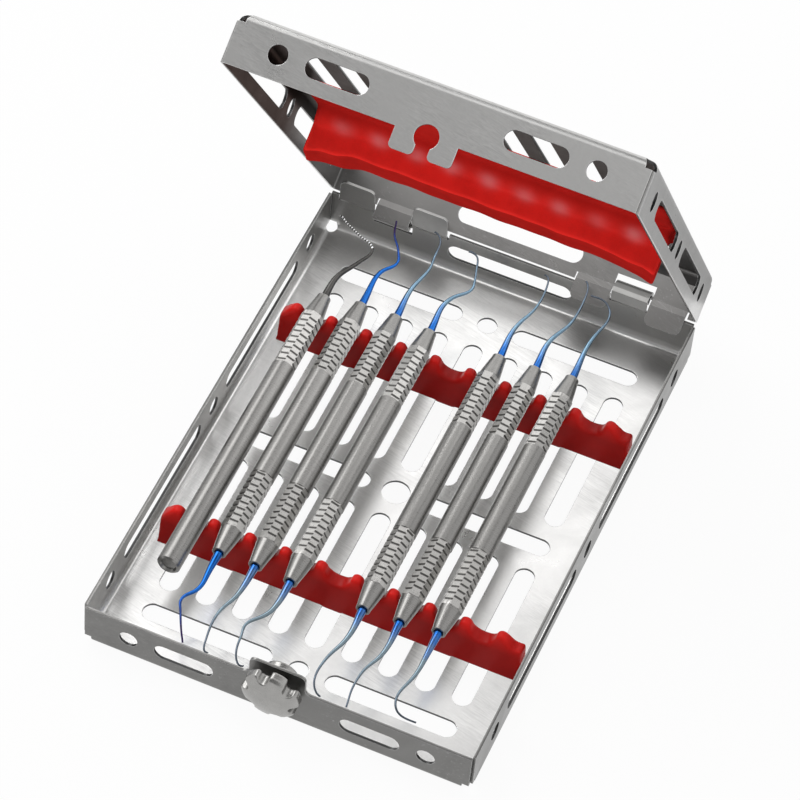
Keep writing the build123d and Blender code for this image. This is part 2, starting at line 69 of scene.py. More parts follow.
NODES = frame["nodes"]
JOINTS = {joint["name"]: joint for joint in frame["joints"]}
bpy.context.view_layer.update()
MM = 0.001
INSTRUMENTS = (2, 3, 4, 6, 7, 8)

# Places in millimetres. Where a finish blends into another, a pair says from where to where.
BEND = 2.4                       # outer radius of the sheets' bends
INNER_SKIN = (2.05, 1.85)        # from a bend's centre: the outer faces' colour gives way to the inner faces', lit and shaded copies of one steel (painted light and shade)
CUT_INNER = (1.53, 1.60)         # from a bend's centre: the band of the punched edges, which gets painted shade
CUT_OUTER = (2.37, 2.30)
CUT_BELOW = (15.2, 14.8)         # height under which an edge is a punched one with painted shade, and not the rim
FLOOR_TO_WALLS = (1.0, 4.5)      # height over which the floor's painted light gives way to the walls' painted shade
TRAY_HALF = (63.0, 90.8)         # from the tray's middle to its outer faces, along X and Y
LID_HALF = (63.0, 91.4)
LID_MIDDLE = 91.7                # from the hinge to the lid's middle
LID_FACE = 15.8                  # from the hinge's level to the lid's outer face
LID_DEEP = (60.0, 0.0)           # from the lid's middle: how its painted shade deepens away from the hinge
SEAT_PITCH = 11.8                # between two handles
PAD_FRONT = 13.1                 # the pad's front face, from the lid's middle towards the hinge
PAD_ENDS = (53.0, 51.0)          # from the lid's middle: where the pad's painted highlights stop
SPOT_SIZE = (2.9, 1.7)           # half widths of a painted highlight, across and up
SPOT_HEIGHT = 7.3                # height of the painted highlights, from the lid's outer face
RAIL_CREST = (10.0, 15.5)        # height over which a rail's skin gets brighter: painted light on the crest
TIP_ROOT = (54.0, 64.0)          # from the tray's middle, along Y: royal blue turns pale or worn
TIP_END = (70.0, 82.0)           # from the tray's middle, along Y: the wire takes its end's colour
PROBE_WAY = (-0.92, 0.39, 0.0)   # direction of the probe's straight end
PROBE_BANDS = 1.05               # pairs of bands in a millimetre
PROBE_BANDS_FROM = 71.8          # from the tray's middle, along Y
RAIL_FOOT = 1.5                  # height up to which a rail keeps its sharp foot
FIRST_NOTCH = 0.9                # from a grip's start to its first row of notches


# ------------------------------------------------------------------- settings
class CassetteStage(bpy.types.PropertyGroup):
    """Where the camera stands, and how bright the studio is."""

    azimuth: bpy.props.FloatProperty(
        name="Camera Azimuth", description="Turn of the camera from straight in front, towards +X",
        default=math.radians(18.691), subtype="ANGLE")
    elevation: bpy.props.FloatProperty(
        name="Camera Elevation", description="Height angle of the camera above the table",
        default=math.radians(51.863), subtype="ANGLE")
    roll: bpy.props.FloatProperty(
        name="Camera Roll", description="Turn of the picture about the camera's own axis",
        default=math.radians(5.875), subtype="ANGLE")
    offset: bpy.props.FloatVectorProperty(
        name="Camera Offset",
        description="The tray's middle in the camera's view: right, up and ahead",
        size=3, default=(-0.001312, -0.028928, 1.335867), unit="LENGTH")
    lens: bpy.props.FloatProperty(
        name="Lens", description="Focal length on a 36 mm sensor", default=195.03, unit="CAMERA")
    key: bpy.props.FloatProperty(
        name="Key Lamp", description="Power of the large soft lamp at the left", default=6.0,
        unit="POWER")
    fill: bpy.props.FloatProperty(
        name="Sky", description="Strength of the even light from all round", default=0.70)
    cut: bpy.props.FloatProperty(
        name="White Table",
        description="How far the table is lifted to plain white under its shadow",
        default=0.94, min=0.0, max=1.0, subtype="FACTOR")


class CassetteFinish(bpy.types.PropertyGroup):
    """Colours of the steel and the silicone."""

    # Lid colours: the outside is the plain steel; the inside and the deep inside are darker copies
    # of it, painted shade.
    steel: bpy.props.FloatVectorProperty(
        name="Lid Outside", description="Colour of the lid's outer faces", subtype="COLOR",
        default=(0.66, 0.655, 0.645))
    inside: bpy.props.FloatVectorProperty(
        name="Lid Inside", description="Colour of the lid's inner faces", subtype="COLOR",
        default=(0.22, 0.215, 0.21))
    deep: bpy.props.FloatVectorProperty(
        name="Lid Deep Inside", description="Colour of the lid's panel far from the hinge",
        subtype="COLOR",
        default=(0.060, 0.050, 0.048))
    # Tray colours: lit and shaded copies of one steel, painted light on the floor and painted shade
    # on the walls and the outside.
    floor: bpy.props.FloatVectorProperty(
        name="Tray Floor", description="Colour of the tray's burnished floor", subtype="COLOR",
        default=(0.86, 0.855, 0.845))
    walls: bpy.props.FloatVectorProperty(
        name="Tray Walls", description="Colour of the inside of the tray's walls", subtype="COLOR",
        default=(0.34, 0.336, 0.328))
    outside: bpy.props.FloatVectorProperty(
        name="Base Outside", description="Colour of the duller outer faces of the base",
        subtype="COLOR",
        default=(0.19, 0.188, 0.183))
    handle: bpy.props.FloatVectorProperty(
        name="Handle Steel", description="Colour of the satin handles", subtype="COLOR",
        default=(0.265, 0.26, 0.252))
    latch: bpy.props.FloatVectorProperty(
        name="Latch Steel", description="Colour of the cast knob and the shaft", subtype="COLOR",
        default=(0.36, 0.355, 0.345))
    silicone: bpy.props.FloatVectorProperty(
        name="Silicone", description="Colour of the red silicone rails and pad", subtype="COLOR",
        default=(0.44, 0.009, 0.007))
    # The pad's colour is a brighter copy of the rails' silicone: painted light.
    pad: bpy.props.FloatVectorProperty(
        name="Lid Pad", description="Colour of the brighter silicone of the lid pad",
        subtype="COLOR",
        default=(0.97, 0.032, 0.026))
    tip: bpy.props.FloatVectorProperty(
        name="Tip Pale Blue", description="Colour of the coated tips away from their root",
        subtype="COLOR",
        default=(0.17, 0.27, 0.36))
    royal: bpy.props.FloatVectorProperty(
        name="Tip Royal Blue",
        description="Colour of the tips at their root, and of the deeper pair", subtype="COLOR",
        default=(0.02, 0.13, 0.47))
    worn: bpy.props.FloatVectorProperty(
        name="Tip Worn", description="Colour of the front tips, where the pale coating is worn",
        subtype="COLOR",
        default=(0.19, 0.25, 0.29))
    tip_end: bpy.props.FloatVectorProperty(
        name="Tip End", description="Colour of the ends of the pale tips", subtype="COLOR",
        default=(0.10, 0.12, 0.15))
    royal_end: bpy.props.FloatVectorProperty(
        name="Royal Tip End", description="Colour of the ends of the deeper pair",
        subtype="COLOR",
        default=(0.035, 0.02, 0.08))
    point: bpy.props.FloatVectorProperty(
        name="Probe Tip", description="Colour of the bare steel probe", subtype="COLOR",
        default=(0.075, 0.073, 0.07))


class CassetteShape(bpy.types.PropertyGroup):
    """Sizes of the moulded and turned pieces."""

    handle_radius: bpy.props.FloatProperty(
        name="Handle Radius", description="Radius of a handle's plain middle", default=3.75 * MM,
        unit="LENGTH")
    flat_radius: bpy.props.FloatProperty(
        name="Grip Flats", description="From the handle's axis to each of its eight flats",
        default=3.46 * MM, unit="LENGTH")
    notch_radius: bpy.props.FloatProperty(
        name="Notch Floor", description="From the handle's axis to the floor of a notch",
        default=3.1 * MM, unit="LENGTH")
    notch_width: bpy.props.FloatProperty(
        name="Notch Width", description="Width of a grip notch at its mouth", default=0.84 * MM,
        unit="LENGTH")
    notch_pitch: bpy.props.FloatProperty(
        name="Notch Pitch", description="Between two notches on one edge", default=2.45 * MM,
        unit="LENGTH")
    grip_start: bpy.props.FloatProperty(
        name="Grip Start", description="From the handle's middle to its grip", default=22.0 * MM,
        unit="LENGTH")
    cone_start: bpy.props.FloatProperty(
        name="Cone Start", description="From the handle's middle to its cone", default=44.5 * MM,
        unit="LENGTH")
    handle_half: bpy.props.FloatProperty(
        name="Handle Half", description="From the handle's middle to its end", default=53.3 * MM,
        unit="LENGTH")
    collar_radius: bpy.props.FloatProperty(
        name="Collar Radius", description="Radius of a handle's end", default=2.3 * MM,
        unit="LENGTH")
    bore_radius: bpy.props.FloatProperty(
        name="Bore Radius", description="Radius of the seat of a tip", default=1.35 * MM,
        unit="LENGTH")
    segments: bpy.props.IntProperty(
        name="Handle Segments", description="Steps round a handle, a multiple of 16", default=96)
    knob_voxel: bpy.props.FloatProperty(
        name="Casting Grain", description="Voxel size of the knob", default=0.22 * MM,
        unit="LENGTH")
    knob_softening: bpy.props.IntProperty(
        name="Casting Softness", description="Rounds of smoothing on the knob", default=10)
    pad_hang: bpy.props.FloatProperty(
        name="Pad Hang", description="How far the pad's edge sags under an open lid",
        default=1.05 * MM, unit="LENGTH")
    pad_droop: bpy.props.FloatProperty(
        name="Pad Droop", description="How much lower the pad's left end hangs",
        default=1.75 * MM, unit="LENGTH")
    pad_keep: bpy.props.FloatProperty(
        name="Pad Keep", description="Share of the pad's depth left when the lid is shut",
        default=0.82)
    pad_voxel: bpy.props.FloatProperty(
        name="Pad Grain", description="Voxel size of the pad", default=0.5 * MM, unit="LENGTH")
    voxel: bpy.props.FloatProperty(
        name="Moulding Grain", description="Voxel size of the rails", default=0.42 * MM,
        unit="LENGTH")
    softening: bpy.props.IntProperty(
        name="Moulding Softness", description="Rounds of smoothing on the silicone pieces",
        default=14)


def settings():
    """The three groups of settings on the scene."""
    scene = bpy.context.scene
    return scene.cassette_stage, scene.cassette_finish, scene.cassette_shape


# ------------------------------------------------------------- shader shorthand
def put(socket, value):
    """Links a socket to another node's output, or sets its plain value."""
    if isinstance(value, bpy.types.NodeSocket):
        socket.id_data.links.new(value, socket)
    else:
        socket.default_value = value


def node(tree, kind, inputs=(), **options):
    """One node with its options and inputs; inputs go by name or by number."""
    made = tree.nodes.new(kind)
    for name, value in options.items():
        setattr(made, name, value)
    for key, value in dict(inputs).items():
        put(made.inputs[key], value)
    return made


def finish(name, **inputs):
    """A new material, its tree, its shader and its place in millimetres."""
    material = bpy.data.materials.new(name)
    material.use_nodes = True
    tree = material.node_tree
    shader = tree.nodes["Principled BSDF"]
    for key, value in inputs.items():
        put(shader.inputs[key.replace("_", " ")], value)
    coordinates = node(tree, "ShaderNodeTexCoord")
    place = node(tree, "ShaderNodeVectorMath", {
        0: coordinates.outputs["Object"], 1: (1 / MM, 1 / MM, 1 / MM)}, operation="MULTIPLY")
    return material, tree, shader, place.outputs[0]


def stretch(tree, place, scale, turn=(0, 0, 0)):
    """The place turned by degrees and stretched, for grain and scratches."""
    angles = [math.radians(angle) for angle in turn]
    turned = node(tree, "ShaderNodeMapping", {"Vector": place, "Rotation": angles})
    return node(tree, "ShaderNodeMapping", {"Vector": turned.outputs[0], "Scale": scale}).outputs[0]


def noise(tree, place, scale, detail=4.0, roughness=0.55, distortion=0.0):
    """Noise from 0 to 1; scale is in turns per millimetre."""
    return node(tree, "ShaderNodeTexNoise", {
        "Vector": place, "Scale": scale, "Detail": detail, "Roughness": roughness,
        "Distortion": distortion}).outputs[0]


def remap(tree, value, low, high, to_low=0.0, to_high=1.0):
    """A value stretched from one range to another and held inside it."""
    return node(tree, "ShaderNodeMapRange", {
        "Value": value, "From Min": low, "From Max": high,
        "To Min": to_low, "To Max": to_high}).outputs[0]


def math_node(tree, operation, a, b=0.0):
    """Arithmetic on two values."""
    return node(tree, "ShaderNodeMath", {0: a, 1: b}, operation=operation).outputs[0]


def times(tree, a, b):
    """Two values multiplied."""
    return math_node(tree, "MULTIPLY", a, b)


def scaled(tree, colour, tone):
    """A colour made lighter or darker by a tone round 1."""
    return node(tree, "ShaderNodeVectorMath", {0: colour, 3: tone}, operation="SCALE").outputs[0]


def multiply_add(tree, place, factor, shift):
    """A place multiplied and shifted along each axis."""
    return node(tree, "ShaderNodeVectorMath", {0: place, 1: factor, 2: shift},
                operation="MULTIPLY_ADD").outputs[0]


def split(tree, place):
    """The X, Y and Z of a place."""
    return node(tree, "ShaderNodeSeparateXYZ", {0: place}).outputs


def plainly_seen(tree):
    """1 for what the camera sees, straight, mirrored or through glass, and 0 for stray light."""
    path = node(tree, "ShaderNodeLightPath").outputs
    seen = math_node(tree, "MAXIMUM", path["Is Camera Ray"], path["Is Glossy Ray"])
    return math_node(tree, "MAXIMUM", seen, path["Is Transmission Ray"])


def mix(tree, factor, a, b, how="MIX"):
    """Two colours blended."""
    colours = [tuple(c) + (1.0,) if not isinstance(c, bpy.types.NodeSocket) and len(c) == 3 else c
               for c in (a, b)]
    return node(tree, "ShaderNodeMix", {0: factor, 6: colours[0], 7: colours[1]},
                data_type="RGBA", blend_type=how).outputs[2]


def bump(tree, shader, height, depth):
    """Relief on a shader from a height of 0 to 1, depth in millimetres."""
    relief = node(tree, "ShaderNodeBump", {"Height": height, "Distance": depth * MM})
    put(shader.inputs["Normal"], relief.outputs[0])
    return relief


def grey(value):
    """A plain grey."""
    return (value, value, value)


# ------------------------------------------------------------------- finishes
def lid_hinge():
    """The hinge's place, and the turn that lays the lid flat on the tray."""
    hinge = JOINTS["lid_hinge"]
    turn = Matrix.Rotation(-math.radians(hinge["range_deg"][0]), 3, "X")
    return Vector(hinge["pos_m"]), turn


def in_lid(tree, place):
    """The place in the lid's own axes: from its middle, and up from its outer face."""
    axis, turn = lid_hinge()
    turned = node(tree, "ShaderNodeMapping", {
        "Vector": place, "Location": -(turn @ axis) / MM, "Rotation": turn.to_euler()}).outputs[0]
    return multiply_add(tree, turned, (1, 1, -1), (0, LID_MIDDLE, LID_FACE))


def sheet_steel(name, outside, walls, floor, half, deep=None):
    """Rolled and tumbled sheet: cloudy tone, fine grain, scuffs, edges with painted highlight and
    holes with painted shade.

    Floor, inner and outer faces are lit and shaded copies of one steel: painted light and shade.
    The lid also gets painted shade deep inside, and is read in its own axes.
    """
    material, tree, shader, place = finish(name, Metallic=0.96)
    clouds = noise(tree, place, 0.055, 5, 0.6, 0.8)
    grain = noise(tree, place, 1.5, 3, 0.5)
    swirl = noise(tree, stretch(tree, place, (0.10, 1.3, 1.3), (0, 0, 14)), 1.0, 5, 0.6, 1.6)
    swirl = mix(tree, remap(tree, noise(tree, place, 0.03, 2), 0.42, 0.58), swirl, grey(0.5))
    across = noise(tree, stretch(tree, place, (0.04, 1.7, 1.7), (0, 0, 24)), 1.0, 3)
    along = noise(tree, stretch(tree, place, (1.8, 0.05, 1.8), (0, 0, -31)), 1.0, 3)
    across, along = remap(tree, across, 0.62, 0.74), remap(tree, along, 0.63, 0.75)
    scuffs = math_node(tree, "MAXIMUM", across, along)
    scuffs = times(tree, scuffs, remap(tree, noise(tree, place, 0.09, 3), 0.45, 0.62))
    local = place if deep is None else in_lid(tree, place)
    parts = split(tree, local)
    height = parts["Z"]
    corner = node(tree, "ShaderNodeVectorMath", {0: local}, operation="ABSOLUTE").outputs[0]
    corner = multiply_add(tree, corner, (1, 1, -1), (BEND - half[0], BEND - half[1], BEND))
    corner = node(tree, "ShaderNodeVectorMath", {0: corner, 1: (0, 0, 0)},
                  operation="MAXIMUM").outputs[0]
    depth = node(tree, "ShaderNodeVectorMath", {0: corner}, operation="LENGTH").outputs["Value"]
    # painted shade: the lid's inner colours darken away from the hinge
    if deep is not None:
        far = remap(tree, parts["Y"], *LID_DEEP)
        floor = mix(tree, far, floor, deep)
        walls = mix(tree, far, walls, deep)
    # lit and shaded copies of one steel: painted light on the floor, painted shade on the walls and
    # the outer faces
    inside = mix(tree, remap(tree, height, *FLOOR_TO_WALLS), floor, walls)
    inner = remap(tree, depth, *INNER_SKIN)
    base = mix(tree, inner, outside, inside)
    # painted shade: dimmer reflections on the lid's inside far from the hinge
    if deep is not None:
        far_inside_shade = times(tree, inner, far)
        put(shader.inputs["Specular Tint"], mix(tree, far_inside_shade, grey(1.0), (0.40, 0.37, 0.36)))
    # painted shade: the punched edges darkened almost to black, less at the corner seams
    between = times(tree, remap(tree, depth, *CUT_INNER), remap(tree, depth, *CUT_OUTER))
    punched = times(tree, between, remap(tree, height, *CUT_BELOW))
    sides = split(tree, corner)
    seam = times(tree, remap(tree, sides["X"], 0.1, 0.3), remap(tree, sides["Y"], 0.1, 0.3))
    punched = times(tree, punched, remap(tree, seam, 0.0, 1.0, 1.0, 0.25))
    tone = remap(tree, clouds, 0.3, 0.7, 0.90, 1.06)
    tone = times(tree, tone, remap(tree, grain, 0.3, 0.7, 0.985, 1.015))
    tone = times(tree, tone, remap(tree, swirl, 0.35, 0.65, 0.88, 1.09))
    toned = scaled(tree, base, tone)
    worn = mix(tree, times(tree, scuffs, 0.16), toned, grey(0.86))
    # edges and bends, found for the painted highlight below
    rounded = node(tree, "ShaderNodeBevel", {"Radius": 0.16 * MM}, samples=8)
    true_normal = node(tree, "ShaderNodeNewGeometry").outputs["Normal"]
    turn = node(tree, "ShaderNodeVectorMath", {0: rounded.outputs[0], 1: true_normal},
                operation="DOT_PRODUCT").outputs["Value"]
    edge = remap(tree, turn, 0.985, 0.90)
    # painted highlight: edges and bends made lighter, on top of the real scuffs
    worn = mix(tree, times(tree, edge, 0.6), worn, grey(0.88))
    # the punched edges' painted shade
    put(shader.inputs["Base Color"], mix(tree, punched, worn, grey(0.07)))
    rough = remap(tree, clouds, 0.3, 0.7, 0.36, 0.27)
    rough = math_node(tree, "ADD", rough, remap(tree, grain, 0.2, 0.8, -0.015, 0.015))
    put(shader.inputs["Roughness"], math_node(tree, "SUBTRACT", rough, times(tree, edge, 0.1)))
    relief = math_node(tree, "ADD", grain, times(tree, swirl, 0.6))
    put(bump(tree, shader, relief, 0.002).inputs["Normal"], rounded.outputs[0])
    return material


def handle_steel(name, colour):
    """Satin turned steel: fine rings round the bar, painted shade in the notches and hollows, and a
    painted highlight on the grips.
    """
    material, tree, shader, place = finish(name, Metallic=1.0)
    rings = noise(tree, stretch(tree, place, (0.15, 5.0, 0.15)), 1.0, 4, 0.7)
    streaks = noise(tree, stretch(tree, place, (2.6, 0.05, 2.6)), 1.0, 3)
    grain = noise(tree, place, 3.0, 3)
    # painted shade: darker where the bar is hollowed
    hollow = node(tree, "ShaderNodeAmbientOcclusion", {"Distance": 0.7 * MM},
                  samples=6, only_local=True)
    tone = times(tree, remap(tree, rings, 0.3, 0.7, 0.97, 1.02),
                     remap(tree, streaks, 0.3, 0.7, 0.95, 1.04))
    tone = times(tree, tone, remap(tree, hollow.outputs["AO"], 0.35, 0.95, 0.45, 1.0))
    # painted highlight on the grips' lands, painted shade on the notch floors
    grip = node(tree, "ShaderNodeAttribute", attribute_name="grip").outputs["Fac"]
    notch = node(tree, "ShaderNodeAttribute", attribute_name="notch").outputs["Fac"]
    tone = times(tree, tone, remap(tree, grip, 0.0, 1.0, 1.0, 1.75))
    tone = times(tree, tone, remap(tree, notch, 0.0, 1.0, 1.0, 0.36))
    put(shader.inputs["Base Color"], scaled(tree, colour, tone))
    rough = math_node(tree, "ADD", remap(tree, rings, 0.3, 0.7, 0.26, 0.34),
                      remap(tree, grain, 0.3, 0.7, -0.03, 0.03))
    put(shader.inputs["Roughness"], rough)
    bump(tree, shader, math_node(tree, "ADD", rings, times(tree, grain, 0.4)), 0.0025)
    return material


def cast_steel(name, colour, rough=0.3):
    """Polished casting: soft waves under the polish, fine pits and painted shade in the hollows."""
    material, tree, shader, place = finish(name, Metallic=1.0)
    clouds = noise(tree, place, 0.25, 4)
    pits = noise(tree, place, 2.2, 5, 0.6)
    # painted shade in the hollows
    hollow = node(tree, "ShaderNodeAmbientOcclusion", {"Distance": 1.6 * MM}, samples=6)
    tone = times(tree, remap(tree, clouds, 0.3, 0.7, 0.9, 1.06),
                     remap(tree, hollow.outputs["AO"], 0.2, 0.9, 0.35, 1.0))
    put(shader.inputs["Base Color"], scaled(tree, colour, tone))
    put(shader.inputs["Roughness"], remap(tree, pits, 0.3, 0.7, rough - 0.05, rough + 0.06))
    bump(tree, shader, math_node(tree, "ADD", pits, clouds), 0.02)
    return material


def silicone(name, colour, gloss, shade, painted_highlights=None):
    """Moulded silicone: satin skin with a faint mould grain and specks of dust, with painted light
    and shade from shade, and painted highlights when given.
    """
    material, tree, shader, place = finish(
        name, Metallic=0.0, IOR=1.41, Specular_IOR_Level=gloss, Subsurface_Weight=0.12,
        Subsurface_Scale=1.2 * MM)
    put(shader.inputs["Subsurface Radius"], (1.0, 0.15, 0.1))
    clouds = noise(tree, place, 0.12, 4)
    grain = noise(tree, place, 2.4, 5, 0.6)
    specks = remap(tree, noise(tree, place, 3.5, 2), 0.74, 0.80)
    tone = times(tree, remap(tree, clouds, 0.3, 0.7, 0.88, 1.08),
                     remap(tree, grain, 0.3, 0.7, 0.96, 1.04))
    # painted light and shade from the piece's shade function
    tone = times(tree, tone, shade(tree, place))
    toned = scaled(tree, colour, tone)
    toned = mix(tree, times(tree, specks, 0.06), toned, (0.75, 0.45, 0.42))
    # painted highlights mixed into the colour
    if painted_highlights is not None:
        toned = mix(tree, times(tree, painted_highlights(tree, place), 0.42), toned, (0.85, 0.38, 0.40))
    put(shader.inputs["Base Color"], toned)
    put(shader.inputs["Roughness"], remap(tree, clouds, 0.3, 0.7, 0.30, 0.42))
    bump(tree, shader, grain, 0.008)
    return material


def rail_painted_light(tree, place):
    """Painted light: brighter silicone on the crests of the rails."""
    height = split(tree, place)["Z"]
    return remap(tree, height, *RAIL_CREST, 0.95, 1.75)


def pad_shade(tree, place):
    """Painted shade near the lid's panel and on the lower face, with a painted highlight on the
    crease between.
    """
    parts = split(tree, in_lid(tree, place))
    upper = remap(tree, parts["Z"], 3.5, 9.5, 0.62, 1.0)
    past = math_node(tree, "SUBTRACT", parts["Y"], PAD_FRONT)
    crease = times(tree, remap(tree, past, 0.05, 0.2), remap(tree, past, 0.6, 0.4))
    lower = remap(tree, past, 0.3, 0.9, 1.0, 0.62)
    lower = math_node(tree, "ADD", lower, times(tree, crease, 0.24))
    return times(tree, upper, lower)


def pad_painted_highlights(tree, place):
    """Painted highlights: soft pale spots on the pad's front face, one before each handle."""
    parts = split(tree, in_lid(tree, place))
    step = math_node(tree, "ADD", math_node(tree, "DIVIDE", parts["X"], SEAT_PITCH), 0.5)
    across = math_node(tree, "SUBTRACT", math_node(tree, "FRACT", step), 0.5)
    across = times(tree, across, SEAT_PITCH / SPOT_SIZE[0])
    up = math_node(tree, "SUBTRACT", parts["Z"], SPOT_HEIGHT)
    up = math_node(tree, "DIVIDE", up, SPOT_SIZE[1])
    spread = math_node(tree, "ADD", times(tree, across, across), times(tree, up, up))
    spot = math_node(tree, "EXPONENT", times(tree, spread, -1.0))
    uneven = remap(tree, noise(tree, place, 0.06, 1), 0.4, 0.6, 0.45, 1.0)
    ends = remap(tree, math_node(tree, "ABSOLUTE", parts["X"]), *PAD_ENDS)
    return times(tree, times(tree, spot, uneven), ends)


def coated_tip(name, colour, pale, worn, far):
    """Coated round wire: deepest at the root, paler or worn along the wire, with a dark end."""
    material, tree, shader, place = finish(name, Metallic=1.0)
    lines = noise(tree, stretch(tree, place, (4.0, 0.25, 4.0)), 1.0, 3)
    along = split(tree, place)["Y"]
    uneven = remap(tree, noise(tree, place, 0.25, 2), 0.3, 0.7, -2.5, 2.5)
    away = math_node(tree, "ADD", math_node(tree, "ABSOLUTE", along), uneven)
    pale = mix(tree, math_node(tree, "LESS_THAN", along, 0.0), pale, worn)
    base = mix(tree, remap(tree, away, *TIP_ROOT), colour, pale)
    base = mix(tree, remap(tree, away, *TIP_END), base, far)
    tone = remap(tree, lines, 0.3, 0.7, 0.86, 1.1)
    put(shader.inputs["Base Color"], scaled(tree, base, tone))
    put(shader.inputs["Roughness"], remap(tree, lines, 0.3, 0.7, 0.12, 0.20))
    bump(tree, shader, lines, 0.003)
    return material


def banded_probe(name, colour):
    """Bare steel wire with the depth bands of a probe along its straight end."""
    material, tree, shader, place = finish(name, Metallic=1.0)
    lines = noise(tree, stretch(tree, place, (4.0, 0.3, 4.0)), 1.0, 3)
    parts = split(tree, place)
    along = node(tree, "ShaderNodeVectorMath", {0: place, 1: PROBE_WAY},
                 operation="DOT_PRODUCT").outputs["Value"]
    bands = math_node(tree, "FRACT", times(tree, along, PROBE_BANDS))
    scale = math_node(tree, "GREATER_THAN", parts["Y"], PROBE_BANDS_FROM)
    light = times(tree, scale, math_node(tree, "GREATER_THAN", bands, 0.5))
    dark = times(tree, scale, math_node(tree, "LESS_THAN", bands, 0.5))
    tone = remap(tree, lines, 0.3, 0.7, 0.85, 1.1)
    toned = scaled(tree, colour, tone)
    toned = mix(tree, dark, toned, grey(0.02))
    put(shader.inputs["Base Color"], mix(tree, light, toned, grey(0.95)))
    put(shader.inputs["Roughness"], remap(tree, lines, 0.3, 0.7, 0.12, 0.22))
    bump(tree, shader, lines, 0.003)
    return material


# --------------------------------------------------------------- mesh shorthand
def piece(bm, name, body, material, sharp=40.0):
    """A finished object from a bmesh: smooth faces, sharp edges, body and finish."""
    for face in bm.faces:
        face.smooth = True
    for edge in bm.edges:
        edge.smooth = edge.is_manifold and edge.calc_face_angle(0) < math.radians(sharp)
    mesh = bpy.data.meshes.new(name)
    bm.to_mesh(mesh)
    bm.free()
    made = bpy.data.objects.new(name, mesh)
    bpy.context.scene.collection.objects.link(made)
    mesh.materials.append(material)
    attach(made, body)
    return made


def dress(names, material):
    """Gives carried-over nodes their finish."""
    for name in names:
        NODES[name].data.materials.clear()
        NODES[name].data.materials.append(material)


def remeshed(node_name, voxel):
    """A bmesh of one node with even small faces, closed and facing outwards."""
    bm = bmesh.new()
    bm.from_mesh(NODES[node_name].data)
    bmesh.ops.remove_doubles(bm, verts=bm.verts, dist=0.002 * MM)
    bmesh.ops.recalc_face_normals(bm, faces=bm.faces)
    rough = bpy.data.meshes.new("rough")
    bm.to_mesh(rough)
    bm.free()
    holder = bpy.data.objects.new("rough", rough)
    bpy.context.scene.collection.objects.link(holder)
    remesh = holder.modifiers.new("Voxels", "REMESH")
    remesh.mode = "VOXEL"
    remesh.voxel_size = voxel
    graph = bpy.context.evaluated_depsgraph_get()
    even = bpy.data.meshes.new_from_object(holder.evaluated_get(graph))
    bm = bmesh.new()
    bm.from_mesh(even)
    bpy.data.objects.remove(holder)
    bpy.data.meshes.remove(rough)
    bpy.data.meshes.remove(even)
    return bm


def soften(bm, verts, rounds):
    """Rounds the edges of a moulding a little at a time."""
    for _ in range(rounds):
        bmesh.ops.smooth_vert(bm, verts=verts, factor=0.5,
                              use_axis_x=True, use_axis_y=True, use_axis_z=True)


